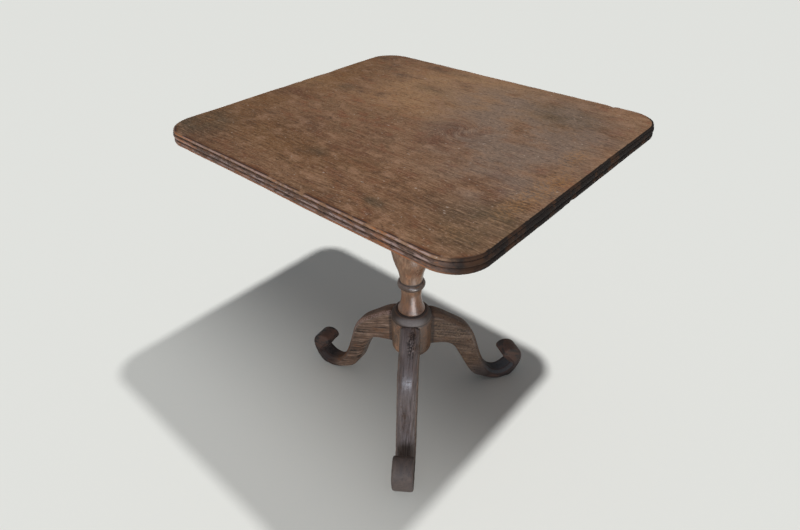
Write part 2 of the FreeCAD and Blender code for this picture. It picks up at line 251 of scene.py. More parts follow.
# %% [markdown]
# ## Wear on the top
#
# Two hundred years of elbows, buckets and moves round the arrises, and knock out small dents.
# Each dent is a bell shape along the edge, deepest at one level of the moulding. Most lie where
# chance puts them. Two chips are large enough to see, and each is made of two dents: one chip is
# in the upper arris of the back edge, near the right corner, and one in the lower arris of the
# right end. These and a few shallow dents of the two ends are listed one by one.

# %% Dents along the edge
dent_count = 70
dent_seed = 11
dent_depth_range = (0.10, 0.50)
dent_length_range = (4.5, 14.0)
dent_reach_range = (1.5, 3.5)
dent_levels = (0.5, 0.5, 0.5, 0.5, 8.0)  # four dents in five sit on the upper arris
dent_sink = 0.35
deepest_knock = 2.0
edge_roughness = ((0.10, 40, 3), (0.03, 11, 4))
face_roughness = ((0.35, 260, 5), (0.12, 60, 6))
placed_dents = (  # x, y, level below the upper face, length along the edge, reach in level, depth
    (234.0, 293.5, 1.0, 3.2, 5.0, 2.6),
    (228.0, 293.5, 1.0, 5.0, 4.0, 1.2),
    (327.0, -36.0, 20.0, 4.0, 4.0, 1.6),
    (327.0, -52.0, 19.0, 8.0, 4.0, 0.7),
    (327.0, 60.0, 1.0, 7.0, 3.0, 1.2),
    (327.0, -110.0, 1.0, 5.0, 3.0, 1.4),
    (327.0, -150.0, 1.0, 9.0, 3.0, 0.8),
    (-327.0, 96.0, 0.5, 16.0, 3.0, 1.1),
    (-327.0, -20.0, 0.5, 22.0, 3.0, 0.8),
)


def edge_dents(place, level):
    """How far each point of the edge is knocked in: a sum of bells along the edge and in level."""
    chance = np.random.default_rng(dent_seed)
    which = chance.integers(0, len(outline), dent_count)
    rows = [np.concatenate([outline[which], np.stack([
        chance.choice(dent_levels, dent_count),
        chance.uniform(*dent_length_range, dent_count),
        chance.uniform(*dent_reach_range, dent_count),
        chance.uniform(*dent_depth_range, dent_count)], axis=-1)], axis=-1), np.array(placed_dents)]
    x, y, depth_level, length, reach, depth = np.concatenate(rows).T
    away = np.hypot(place[..., 0, None] - x, place[..., 1, None] - y) / length
    off = (level[..., None] - depth_level) / reach
    return (depth * np.exp(-away ** 2 - off ** 2)).sum(-1)


print("dents by chance:", dent_count, "and by hand:", len(placed_dents))


# %% Grid of the top
def top_grid():
    """Rows of points from the middle of the upper face, over the moulding, to the middle below.

    A point of the faces is the strip's inner outline times a share of the way out. A point of
    the edge is the outline, moved in square to itself by the profile's inset and the dents.
    """
    upper_rows = 64
    lower_rows = 8
    strip_rows = 9
    inner = outline - outward * edge_strip
    upper_face = np.linspace(0.01, 1, upper_rows)[:, None, None] * inner
    lower_face = np.linspace(1, 0.02, lower_rows)[:, None, None] * inner
    inset = np.linspace(edge_strip, arris_inset, strip_rows + 1)[1:-1, None, None]
    upper_strip = outline - outward * inset
    inset = np.linspace(under_arris_inset, edge_strip, strip_rows + 1)[1:-1, None, None]
    lower_strip = outline - outward * inset
    edge = outline - outward * profile[:, 0, None, None]
    plan = np.concatenate([upper_face, upper_strip, edge, lower_strip, lower_face])
    depth = np.concatenate([np.zeros(upper_rows + strip_rows - 1), profile[:, 1],
                            np.full(strip_rows - 1 + lower_rows, top_thickness)])
    level = np.broadcast_to(depth[:, None], plan.shape[:2])
    near_edge = np.linalg.norm(outline - plan, axis=-1) < edge_strip / 2
    knock = np.where(near_edge, edge_dents(np.broadcast_to(outline, plan.shape), level), 0)
    flat = np.concatenate([plan, -level[..., None]], axis=-1)
    knock = knock + np.where(near_edge, uneven(flat, edge_roughness), 0)
    plan = plan - outward * knock[..., None]
    sink = dent_sink * np.clip(knock, 0, deepest_knock) * (level < top_thickness / 2)
    height = table_height - level + uneven(flat, face_roughness) - sink
    grid = np.concatenate([plan, height[..., None]], axis=-1)
    return grid, level, knock


top_points, top_level, top_knock = top_grid()
print("top's rows and columns:", top_points.shape[:2])

# %% [markdown]
# ## Stains and fields of the top
#
# What happened to one place of the board belongs to that place, not to a pattern. So the stains
# are soft ovals, added up into one field for each kind of stain: grey over the right half, partly
# a bloom in the wax and partly a painted sheen, dusky corners and blots, reddish umber marks, amber
# rubbed spots along the right end, a golden brown along the left end and the front, and a pale
# painted sheen at the back.
#
# Other fields follow the edge. The crests of the beads are worn, the quirks hold dirt, and a thin
# line is scribed just inside the front arris. The ends are where the board is cut across the grain.
#
# The one knot lies a little right of the middle. A fibre grows round a knot, so near it the field
# named grain is turned about the knot's centre, and every streak drawn with it turns as well.

# %% Table of stains
stains = {  # kind: x, y, half length, half width, strength
    # partly bloom in the wax, partly painted sheen
    "grey": ((150, 40, 130, 150, 0.9), (60, 190, 150, 90, 0.6), (215, 130, 110, 120, 0.6),
             (260, -90, 70, 90, 0.8)),
    "dusk": ((-300, -230, 70, 55, 1.0), (190, 190, 90, 60, 0.7), (-225, 55, 34, 26, 0.6),
             (-42, -180, 30, 18, 0.6), (143, -242, 24, 10, 1.0), (240, -200, 90, 60, 0.36),
             (-80, 150, 60, 22, 0.5), (-235, 205, 60, 40, 0.4), (290, -190, 50, 90, 0.6),
             (-90, 262, 70, 20, 0.5)),
    "umber": ((85, 20, 42, 44, 1.0), (95, -45, 44, 16, 0.8), (-20, -140, 120, 36, 0.6),
              (-290, -20, 60, 40, 0.7), (240, -110, 60, 60, 0.5), (60, -215, 110, 24, 0.5)),
    "amber": ((280, 55, 20, 40, 0.9), (300, -45, 26, 60, 1.0), (290, -135, 24, 60, 0.8),
              (265, -235, 40, 25, 0.5)),
    "gold": ((-310, 40, 80, 230, 1.0), (-120, -190, 230, 70, 0.6), (-40, 60, 90, 60, 0.3),
             (40, 130, 70, 50, 0.6), (225, 110, 50, 40, 0.7)),
    # painted sheen, paler towards the back of the top
    "pale_painted_sheen": ((10, 225, 130, 90, 0.9), (-120, 160, 120, 90, 0.6), (120, 160, 120, 70, 0.6),
                 (-60, 50, 160, 50, 0.4), (-300, 20, 40, 60, 0.5)),
}
knot_x = 86.0
knot_y = 26.0
knot_reach = 34.0
knot_turn = 1.3
print("kinds of stain:", ", ".join(stains))


# %% Soft spots and the knot
def bell(distance, width):
    """One at the middle, falling to nothing within about twice the width."""
    return np.exp(-(distance / width) ** 2)


def stain_field(ovals):
    """Sum of soft ovals at each point of the top, at most one."""
    across_x, across_y = top_points[..., 0], top_points[..., 1]
    total = np.zeros(across_x.shape)
    for x, y, half_length, half_width, strength in ovals:
        away = np.hypot((across_x - x) / half_length, (across_y - y) / half_width)
        total = total + strength * bell(away, 1.0)
    return np.clip(total, 0, 1)


def grain_round_knot():
    """Places in the plank: the points, turned about the knot by an angle that falls off from it."""
    across = top_points[..., :2] - (knot_x, knot_y)
    angle = knot_turn * bell(np.linalg.norm(across, axis=-1), knot_reach)
    turned = np.stack([across[..., 0] * np.cos(angle) - across[..., 1] * np.sin(angle),
                       across[..., 0] * np.sin(angle) + across[..., 1] * np.cos(angle)], axis=-1)
    return np.concatenate([turned + (knot_x, knot_y), top_points[..., 2:]], axis=-1)


# %% Levels, insets and widths of the edge's fields
face_depth = 0.3
edge_reach = 2.2
quirk_half = 0.6
upper_crest_level = 0.6
upper_crest_half = 1.1
upper_crest_inset = 2.6
middle_crest_level = 8.0
middle_crest_half = 2.6
middle_crest_wear = 0.75
lower_crest_level = 15.5
lower_crest_half = 1.6
lower_crest_wear = 0.7
dent_wear = 0.35
lift_level = 18.8
lift_half = 1.4
wear_hidden_on_ends = 0.9
side_from_level = 3.0
side_to_level = 18.5
side_fade = 1.5
side_least = 0.3
end_dark_inset = 5.5
end_dark_fade = 0.8
end_dark_roughness = ((0.4, 11, 47),)
right_corner_power = 1.6
left_corner_power = 3
scribed_inset = 5.7
scribed_half = 0.9
rim_inset = 7.0
rim_half = 4.0
edge_inset = np.linalg.norm(outline - top_points[..., :2], axis=-1)
on_edge = bell(np.clip(edge_inset - quirk_inset, 0, None), edge_reach)
print("points on the moulding:", int((on_edge > 0.5).sum()))

# %% Worn crests and dark ends
quirks = bell(top_level - upper_quirk_depth, quirk_half) + bell(top_level - lower_quirk_depth, quirk_half)
upper_crest = bell(top_level - upper_crest_level, upper_crest_half)
middle_crest = middle_crest_wear * bell(top_level - middle_crest_level, middle_crest_half)
lower_crest = lower_crest_wear * bell(top_level - lower_crest_level, lower_crest_half)
crests = upper_crest * bell(edge_inset - upper_crest_inset, edge_reach)
crests = crests + middle_crest * on_edge
crests = crests + lower_crest * on_edge
end_reach = end_dark_inset + uneven(top_points, end_dark_roughness)
end_on_right = np.clip((end_reach - edge_inset) / end_dark_fade, 0, 1)
end_on_right = end_on_right * np.clip(outward[:, 0], 0, 1) ** right_corner_power
end_on_left = on_edge * (top_level > face_depth) * np.clip(-outward[:, 0], 0, 1) ** left_corner_power
end = end_on_right + end_on_left
front_rim = (top_level < face_depth) * np.clip(-outward[:, 1], 0, 1)

# %% Fields and mesh of the top
top_fields = {kind: stain_field(ovals) for kind, ovals in stains.items()}
top_fields["grain"] = grain_round_knot()
top_fields["front"] = np.clip(-top_points[..., 1] / (top_width / 2), 0, 1)
top_fields["groove"] = np.clip(quirks * on_edge, 0, 1)
knocked = dent_wear * np.clip(top_knock, 0, deepest_knock) * on_edge
top_fields["worn"] = np.clip(crests + knocked, 0, 1) * (1 - wear_hidden_on_ends * end)
top_fields["lift"] = bell(top_level - lift_level, lift_half) * on_edge * (1 - wear_hidden_on_ends * end)
top_fields["end"] = end
side_share = np.clip((side_to_level - top_level) / side_fade, side_least, 1)
top_fields["side"] = on_edge * ((top_level > side_from_level) * side_share)
top_fields["scribed"] = bell(edge_inset - scribed_inset, scribed_half) * front_rim
top_fields["rim"] = bell(edge_inset - rim_inset, rim_half) * front_rim
table_top = skin("moulded_top", top_points, top_fields)
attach(table_top, "top")
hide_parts("tabletop")

# %% [markdown]
# ## The pillar
#
# The pillar was turned on a pole lathe from one square of wood: a hub for the legs, a shoulder
# with a small step, a hollow waist, a ring, a vase with a low belly and a long neck, a collar and
# a small capital. A profile spun round an axis is the very same thing. The Screw modifier would
# do it too, but in an array the radius can also change with the angle: an old pillar has shrunk
# across the grain, so it is a little oval, and the turner's gouge left faint ridges on it.
#
# Its fields say where dirt fills the grooves, where dust lies with a painted sheen, where the waist
# was held, where the shoulder's front has a painted highlight, and where the hub, shoulder and ring are.

# %% Sizes of the pillar
stand_x = -20.0
stand_y = 20.0
block_thickness = 34.0
hub_radius = 45.4
hub_wall_low = 192.0
hub_dome_depth = 20.0
hub_wall_high = 276.0
rim_radius = 45.2
rim_rise = 3.0
shoulder_rise = 18.6
shoulder_mid_radius = 41.0
shoulder_mid_rise = 12.6
shoulder_top_radius = 32.6
foot_quirk_radius = 29.6
foot_quirk_drop = 0.9
foot_radius = 30.2
foot_height = 4.6
waist_radius = 22.2
waist_end_radius = 25.2
ring_low = 358.4
ring_radius = 30.7
ring_seat_radius = 26.6
ring_seat_rise = 1.6
ring_height = 15.6
ring_quirk_height = 2.6
vase_foot_radius = 25.0
swell_radius = 43.6
neck_radius = 27.0
collar_drop = 40.0
collar_radius = 33.5
collar_half_height = 7.5
collar_seat_radius = 28.2
capital_neck_drop = 30.5
capital_mid_radius = 30.6
capital_mid_drop = 16.5
capital_lip_drop = 8.6
capital_lip_radius = 38.0
capital_radius = 40.0
column_shares = ((0.80, 0.06), (0.44, 0.20), (0.16, 0.37), (0.01, 0.58), (0.02, 0.76))
vase_shares = ((0.06, 0.045), (0.20, 0.095), (0.44, 0.150), (0.71, 0.212), (0.88, 0.270),
               (0.985, 0.345), (0.985, 0.430), (0.86, 0.560), (0.60, 0.710), (0.30, 0.860))
# direction of the painted highlight on the shoulder's front
painted_highlight_side = -52.0
# direction in which the hub is darker
darker_hub_side = 4.0
hub_fade = 4.0
waist_half = 34.0
shoulder_dullness = 0.9
pillar_columns = 144
oval_share = 0.004
gouge_height = 0.05
gouge_pitch = 2.3
smooth_within = 10.0
least_step = 0.05
pillar_roughness = ((0.16, 34, 21),)
underside = table_height - top_thickness
block_low = underside - block_thickness
print("the pillar ends under the tilt block at", round(block_low, 1), "mm")


# %% Profile of the pillar
def between(low_radius, high_radius, low_level, high_level, shares):
    """Points from shares of a stretch's radii and of its height."""
    shares = np.array(shares)
    return (low_radius, low_level) + shares * (high_radius - low_radius, high_level - low_level)


def pillar_profile():
    """Radius and level of the outline, from the middle of the hub's dome up to the tilt block."""
    turn = np.linspace(0.03, np.pi / 2, 16)
    dome = np.stack([hub_radius * np.sin(turn), hub_wall_low - hub_dome_depth * np.cos(turn)], axis=-1)
    shoulder_top = hub_wall_high + shoulder_rise
    foot_top = shoulder_top + foot_height
    column = between(waist_radius, foot_radius, foot_top, ring_low, column_shares)
    ring_top = ring_low + ring_height
    vase_low = ring_top + ring_quirk_height
    collar = block_low - collar_drop
    vase_high = collar - collar_half_height
    vase = between(vase_foot_radius, swell_radius, vase_low, vase_high, vase_shares)
    stretches = [
        dome,
        straight((hub_radius, hub_wall_low + 4), (hub_radius, hub_wall_high), 16),
        arc_through((rim_radius, hub_wall_high + rim_rise),
                    (shoulder_mid_radius, hub_wall_high + shoulder_mid_rise),
                    (shoulder_top_radius, shoulder_top), 16),
        straight((shoulder_top_radius - 1, shoulder_top + 0.2),
                 (foot_quirk_radius, shoulder_top - foot_quirk_drop), 4),
        [(foot_radius, shoulder_top)],
        smooth_curve([(foot_radius, foot_top), *column, (waist_end_radius, ring_low)], 34),
        arc_through((ring_seat_radius, ring_low + ring_seat_rise),
                    (ring_radius, ring_low + (ring_seat_rise + ring_height) / 2),
                    (ring_seat_radius, ring_top), 18),
        [(vase_foot_radius - 0.6, ring_top + ring_quirk_height / 2)],
        smooth_curve([(vase_foot_radius, vase_low), *vase, (neck_radius, vase_high)], 64),
        arc_through((collar_seat_radius, vase_high), (collar_radius, collar),
                    (collar_seat_radius, collar + collar_half_height), 16),
        arc_through((neck_radius, block_low - capital_neck_drop),
                    (capital_mid_radius, block_low - capital_mid_drop),
                    (capital_lip_radius, block_low - capital_lip_drop), 16),
        straight((capital_radius, block_low - capital_lip_drop), (capital_radius, block_low - 0.6), 4),
        straight((capital_radius - 0.6, block_low), (1, block_low), 4),
    ]
    return np.concatenate(stretches)


pillar_line = pillar_profile()
print("points up the pillar:", len(pillar_line))


# %% Grid of the pillar
def pillar_grid(line):
    """Profile spun round the pillar's axis: radius times cosine and sine of the turn, and level.

    The radius is a little more one way than the other, and fine ridges follow the gouge. Near
    the axis, at both ends of the pillar, they die out.
    """
    turn = np.linspace(0, 2 * np.pi, pillar_columns, endpoint=False)[None]
    radius = line[:, 0, None]
    level = np.broadcast_to(line[:, 1, None], (len(line), pillar_columns))
    ridges = gouge_height * np.sin(level * 2 * np.pi / gouge_pitch + turn)
    oval = oval_share * radius * np.cos(2 * turn)
    around = np.stack([radius * np.cos(turn), radius * np.sin(turn), level], axis=-1)
    rough = ridges + uneven(around, pillar_roughness)
    radius = radius + oval + np.clip(radius / smooth_within, 0, 1) * rough
    return np.stack([stand_x + radius * np.cos(turn), stand_y + radius * np.sin(turn), level], axis=-1)


def grooves_at(level, places):
    """One in the grooves, falling away within their widths."""
    return np.clip(sum(bell(level - place, width) for place, width in places), 0, 1)


# %% Fields of the pillar
pillar_points = pillar_grid(pillar_line)
pillar_level = pillar_points[..., 2]
pillar_groove = grooves_at(pillar_level, (
    (hub_wall_high, 1.4), (hub_wall_high + shoulder_rise - 0.6, 1.0),
    (ring_low + 0.6, 0.9), (ring_low + ring_height + 1.6, 1.8),
    (block_low - collar_drop - collar_half_height, 1.4),
    (block_low - collar_drop + collar_half_height, 1.4)))
pillar_x = pillar_points[..., 0] - stand_x
pillar_y = pillar_points[..., 1] - stand_y
faces_up = np.clip(-np.gradient(pillar_line[:, 0]), 0, None)
faces_up = faces_up / (faces_up + np.abs(np.gradient(pillar_line[:, 1])) + least_step)
# dust and a painted sheen: grey on the faces that look up, above the shoulder
pillar_dust_and_sheen = faces_up[:, None] * (pillar_level > hub_wall_high + shoulder_rise + foot_height)
pillar_hub = np.clip((hub_wall_high + hub_fade / 2 - pillar_level) / hub_fade, 0, 1)
pillar_shoulder = bell(pillar_level - hub_wall_high - shoulder_rise / 2, shoulder_rise / 2)
pillar_ring = bell(pillar_level - ring_low - ring_height / 2, ring_height / 2)
pillar_turn = np.arctan2(pillar_y, pillar_x)
# painted highlight: a dull grey band on the front of the shoulder
pillar_painted_highlight = pillar_shoulder * np.clip(np.cos(pillar_turn - np.radians(painted_highlight_side)), 0, 1) ** 2
# the hub, darker towards its right side
pillar_darker_side = pillar_hub * np.clip(np.cos(pillar_turn - np.radians(darker_hub_side)), 0, 1)
pillar_fields = {
    "grain": np.stack([pillar_level, pillar_x, pillar_y], axis=-1),
    "groove": pillar_groove,
    "dust_and_sheen": pillar_dust_and_sheen,
    "hub": pillar_hub,
    "shoulder": pillar_shoulder,
    "painted_shoulder_highlight": pillar_painted_highlight,
    "ring": pillar_ring,
    "hub_right_darker": pillar_darker_side,
    "end": np.clip(shoulder_dullness * pillar_shoulder + pillar_groove, 0, 1),
    "held": bell(pillar_level - (hub_wall_high + ring_low) / 2, waist_half),
}
pillar = skin("turned_pillar", pillar_points, pillar_fields)
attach(pillar, "stand")
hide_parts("pillar")

# %% [markdown]
# ## The legs
#
# Each leg was sawn from a thick plank along a drawn outline: out from the hub, down a long
# S-bend, and round into a scroll that stands on the floor. Then the two upper arrises were taken
# off with a drawknife. The height of the wood changes all the way, so a curve with one bevel
# won't do. Here each station pairs a point of the back with the point of the belly across from
# it, and a section with cut corners is stretched between the two.

# %% Sizes and marks of the legs
leg_reach = 297.0
front_leg_reach = 291.0
leg_thickness = 45.0
leg_crest = 277.5
leg_chamfer = 9.0
leg_seat = 38.2
leg_places = {  # direction from the pillar and reach
    "leg_front": (-53.4, front_leg_reach),
    "leg_right": (61.25, leg_reach),
    "leg_left": (188.75, leg_reach),
}
mark_names = ("nail", "darker", "soaked", "dusty_with_sheen", "pale", "deeper", "splash")
leg_marks = {  # shares of one, but deeper is how deep the belly is cut in and splash is a height
    "leg_front": (0.0, 0.0, 0.0, 1.0, 0.0, 0.0, 60.0),
    "leg_right": (1.0, 0.8, 0.8, 0.0, 0.0, 0.0, 122.0),
    "leg_left": (0.0, 0.0, 1.0, 0.0, 1.0, 5.0, 20.0),
}
leg_stations = (  # back and belly as shares of the span from the hub and of the crest's height
    (-0.020, 0.990, -0.020, 0.692), (0.000, 0.9946, 0.000, 0.692), (0.030, 1.000, 0.012, 0.690),
    (0.070, 0.988, 0.030, 0.687), (0.148, 0.940, 0.060, 0.681), (0.236, 0.872, 0.106, 0.670),
    (0.332, 0.798, 0.166, 0.648), (0.398, 0.736, 0.212, 0.618), (0.446, 0.664, 0.255, 0.568),
    (0.480, 0.578, 0.293, 0.499), (0.508, 0.488, 0.334, 0.415), (0.536, 0.400, 0.373, 0.331),
    (0.566, 0.318, 0.414, 0.251), (0.602, 0.243, 0.471, 0.167), (0.648, 0.170, 0.562, 0.100),
    (0.702, 0.116, 0.672, 0.036), (0.764, 0.090, 0.764, 0.004), (0.826, 0.092, 0.835, -0.003),
    (0.868, 0.112, 0.887, 0.006), (0.882, 0.124, 0.934, 0.043), (0.888, 0.136, 0.972, 0.100),
    (0.882, 0.147, 0.995, 0.165), (0.869, 0.163, 0.999, 0.230), (0.856, 0.181, 0.980, 0.281),
    (0.843, 0.199, 0.941, 0.318), (0.832, 0.215, 0.892, 0.340), (0.822, 0.229, 0.838, 0.343),
    (0.814, 0.240, 0.799, 0.320), (0.809, 0.247, 0.791, 0.286), (0.806, 0.252, 0.798, 0.264),
)
leg_rows = 190
belly_ease = 1.4
most_ease_share = 0.3
most_chamfer_share = 0.42
foot_from_share = 0.62
foot_over_share = 0.2
curl_from_share = 0.80
curl_over_share = 0.08
side_roughness = ((0.35, 70), (0.14, 16))
least_belly_level = 0.02
fibre_fall = np.radians(25.0)
plank_step = 700
arris_half = 2.0
arris_drop = 2.5
back_depth = 1.0
back_share = 0.7
splash_on_foot = 0.62
foot_dullness = 0.5
soaked_dullness = 0.8
# reach of the painted shade in the corner at the hub
corner_shade_reach = 3.5
pale_from_level = 90.0
pale_over = 60.0
deeper_at = 0.32
deeper_width = 0.11
rounder = 1.4
nail_along = 115.5
nail_level = 195.8
nail_radius = 2.2
nail_depth = 1.6
pits_along = 78.0
pits_across = 6.0
pits_length = 24.0
pits_width = 10.0
print("legs:", ", ".join(leg_places), "with", len(leg_stations), "stations each")


# %% Sections of a leg
def section_corners(height, foot, cut_in):
    """Corners of half a section, from the middle of the belly to the middle of the back.

    Across the plank and up from the belly: the belly's corner is eased by a few millimetres,
    more at the foot and where the belly is cut in, and the chamfer cuts off the back's corner.
    """
    half = leg_thickness / 2
    ease = np.minimum(belly_ease + belly_ease * foot + rounder * cut_in, most_ease_share * height)
    cut = np.minimum(leg_chamfer, most_chamfer_share * height)
    zero = np.zeros_like(height)
    full = zero + half
    across = np.stack([zero, full - ease, full, full, full - cut, zero], axis=-1)
    up = np.stack([zero, zero, ease, height - cut, height, height], axis=-1)
    return np.stack([across, up], axis=-1)


def leg_sections(height, foot, cut_in):
    """Each side of the half section cut into steps, mirrored, and its corners rubbed round.

    The rubbing is a running mean round the section, as sandpaper would do.
    """
    corners = section_corners(height, foot, cut_in)
    steps = (6, 3, 24, 6, 5)
    sides = [corners[:, i, None] + (corners[:, i + 1] - corners[:, i])[:, None]
             * np.linspace(0, 1, n, endpoint=False)[None, :, None] for i, n in enumerate(steps)]
    half = np.concatenate(sides + [corners[:, -1:]], axis=1)
    other = half[:, -2:0:-1] * (-1, 1)
    ring = np.concatenate([half, other], axis=1)
    for _ in range(2):
        ring = (np.roll(ring, 1, axis=1) + 2 * ring + np.roll(ring, -1, axis=1)) / 4
    return ring


# %% Surface of a leg
def nail_hole(plank):
    """Near one within the nail hole in the side of a leg, and zero elsewhere."""
    away = np.hypot(plank[..., 0] - nail_along, plank[..., 2] - nail_level)
    return bell(away, nail_radius) * (plank[..., 1] < -leg_thickness / 3)


def leg_grid(azimuth, reach, marks, seed):
    """Back and belly curves through the stations, with a section stretched between them.

    A point is the belly's point, plus its height in the section along the line to the back's
    point, plus its distance across the plank. The whole is turned to the leg's azimuth. Where
    the sawyer of one leg went too deep, the belly moves in towards the back by a bell shape.
    """
    curve = smooth_curve(leg_stations, leg_rows)
    scale = (reach - leg_seat, leg_crest)
    back = (leg_seat, 0) + curve[:, :2] * scale
    belly = (leg_seat, 0) + curve[:, 2:] * scale
    belly[:, 1] = np.maximum(belly[:, 1], least_belly_level)
    rise = (back - belly) / np.linalg.norm(back - belly, axis=1)[:, None]
    cut_in = marks["deeper"] * bell(curve[:, 2] - deeper_at, deeper_width)
    belly = belly + rise * cut_in[:, None]
    height = np.linalg.norm(back - belly, axis=1)
    foot = np.clip((curve[:, 0] - foot_from_share) / foot_over_share, 0, 1)
    ring = leg_sections(height, foot, cut_in)
    flat = belly[:, None] + rise[:, None] * ring[..., 1, None]
    plank = np.stack([flat[..., 0], ring[..., 0], flat[..., 1]], axis=-1)
    rough = uneven(plank, [(*layer, seed + i) for i, layer in enumerate(side_roughness)])
    plank[..., 1] += rough * np.sign(ring[..., 0]) * (np.abs(ring[..., 0]) > leg_thickness / 3)
    plank[..., 1] += marks["nail"] * nail_depth * nail_hole(plank)
    turn = np.radians(azimuth)
    x = stand_x + plank[..., 0] * np.cos(turn) - plank[..., 1] * np.sin(turn)
    y = stand_y + plank[..., 0] * np.sin(turn) + plank[..., 1] * np.cos(turn)
    z = np.maximum(plank[..., 2], 0)
    return np.stack([x, y, z], axis=-1), plank, ring, height, foot


# %% Fields of a leg
def leg_fields(plank, ring, height, foot, marks, seed):
    """Fields of a leg: its place in the plank, where it is worn, dusty or wetted, and where sheen and shade
    are painted.

    The place has its first axis along the fibre, which falls outwards. worn is near one at the
    arrises, back on the upper face, low near the floor, and a painted shade lies where the leg meets the
    hub.
    The leg's own marks say how much each of the others counts on it. end is where the wood drinks
    and turns dull. Each leg takes its grain from another stretch of the plank.
    """
    along = plank[..., 0] * np.cos(fibre_fall) - plank[..., 2] * np.sin(fibre_fall)
    over = plank[..., 0] * np.sin(fibre_fall) + plank[..., 2] * np.cos(fibre_fall)
    grain = np.stack([along + plank_step * seed, over, plank[..., 1]], axis=-1)
    half = leg_thickness / 2
    side = np.abs(ring[..., 0])
    top = height[:, None] - ring[..., 1]
    arris = bell(side - half, arris_half) * bell(top - leg_chamfer, arris_drop)
    arris = arris + bell(top, arris_half) * bell(side - half + leg_chamfer, arris_drop)
    wetted = 1 - plank[..., 2] / marks["splash"]
    low = np.clip(np.maximum(wetted, splash_on_foot * foot[:, None]), 0, 1)
    curl = np.clip((np.linspace(0, 1, len(foot)) - curl_from_share) / curl_over_share, 0, 1)
    chamfer = np.clip(side - half + leg_chamfer, 0, 1) * np.clip(leg_chamfer - top, 0, 1)
    back = bell(np.clip(top - back_depth, 0, None), leg_chamfer * back_share)
    pits = bell(plank[..., 0] - pits_along, pits_length) * bell(plank[..., 1] - pits_across, pits_width)
    dull = foot_dullness * foot[:, None] + soaked_dullness * marks["soaked"] * back
    return {
        "grain": grain,
        "worn": np.clip(arris, 0, 1),
        "back": back,
        "low": low,
        "soaked": marks["soaked"] * low,
        # dust with a painted sheen on the back of the front leg
        "dusty_with_sheen": marks["dusty_with_sheen"] * back,
        "pits": marks["dusty_with_sheen"] * back * pits,
        "pale": marks["pale"] * chamfer * np.clip((plank[..., 2] - pale_from_level) / pale_over, 0, 1),
        "curl": marks["soaked"] * np.broadcast_to(curl[:, None], side.shape),
        "darker": np.full_like(side, marks["darker"]),
        "nail": marks["nail"] * nail_hole(plank),
        "end": np.clip(dull, 0, 1),
        # painted shade in the corner where the leg meets the hub
        "painted_corner_shade": np.clip(1 - (plank[..., 0] - hub_radius) / corner_shade_reach, 0, 1),
    }


# %% Build the three legs
legs = {}
for seed, (node_name, (azimuth, reach)) in enumerate(leg_places.items(), 1):
    marks = dict(zip(mark_names, leg_marks[node_name]))
    points, plank, ring, height, foot = leg_grid(azimuth, reach, marks, 30 + seed)
    fields = leg_fields(plank, ring, height, foot, marks, seed)
    legs[node_name] = skin("scrolled_" + node_name, points, fields)
    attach(legs[node_name], "stand")
    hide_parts(node_name)

# %% [markdown]
# ## Colours and nodes
#
# A colour is written as a web colour, the way a picture program shows it, and one function turns
# it to the linear numbers that Blender mixes with. A second function adds one node: what is named
# in the brackets is set on the node, and the dictionary fills its inputs with values or links. A
# third one lays a colour over another. It knows the numbers of the Mix node's sockets, because
# that node has several sockets of the same name.

# %% Colour and node helpers
def linear(hex_colour):
    """Linear colour with full alpha from a web colour, by the sRGB curve."""
    value = np.array([int(hex_colour[i:i + 2], 16) for i in (1, 3, 5)]) / 255
    curve = np.where(value <= 0.04045, value / 12.92, ((value + 0.055) / 1.055) ** 2.4)
    return (*curve.tolist(), 1.0)


def add(tree, kind, inputs=None, **settings):
    """Adds one node and returns it. A socket in inputs is linked, and any other value is set."""
    made = tree.nodes.new("ShaderNode" + kind)
    for setting, value in settings.items():
        setattr(made, setting, value)
    for socket, value in (inputs or {}).items():
        if isinstance(value, bpy.types.NodeSocket):
            tree.links.new(value, made.inputs[socket])
        else:
            made.inputs[socket].default_value = value
    return made


def lay_over(tree, strength, below, above):
    """Colour above laid over colour below by a strength: sockets 0, 6 and 7 of the Mix node."""
    return add(tree, "Mix", {0: strength, 6: below, 7: above}, data_type="RGBA").outputs[2]


def new_material(name):
    """Material with a Principled shader, its tree and that shader."""
    made = bpy.data.materials.new(name)
    made.use_nodes = True
    return made, made.node_tree, made.node_tree.nodes["Principled BSDF"]


# %% [markdown]
# ## Old wood in layers
#
# The table is a dense, oily tropical hardwood, such as teak. Sawn along the grain it shows long
# streaks, darker and lighter by turns, and short dark pores. Age has done the rest: oil and smoke
# left brown and near-black patches, washing left grey ones, and hands polished the arrises pale.
#
# A finish is a base colour with layers over it, much as a painter grains a door. Each layer is a
# row of a table: its colour, its strength, and where it shows. Where it shows is one or more
# patterns, each with the value at which the layer is absent and the value at which it is full.
# A pattern is noise stretched to a size in mm along, across and through the plank. Any other name
# is a field of the mesh, such as groove or worn.
#
# Every new piece has a field named grain, which says where each point lies in its own plank:
# first along the fibre, then across. So the streaks follow the wood through a bend or a turning
# just as they do in a real solid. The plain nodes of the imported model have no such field. They
# take their place from Object coordinates, turned until the fibre runs along the first axis.
#
# The pores of such wood are 0.3 mm wide, and a pixel of the picture covers 1 to 2 mm. So the
# finest fibres are drawn about 2 mm wide, which keeps the bite that they give the real surface.

# %% Recipe for wood
sway_size = (180, 70, 70)
sway_reach = 20
patches_low = 0.35
patches_high = 0.65
end_grain_roughness = 0.95


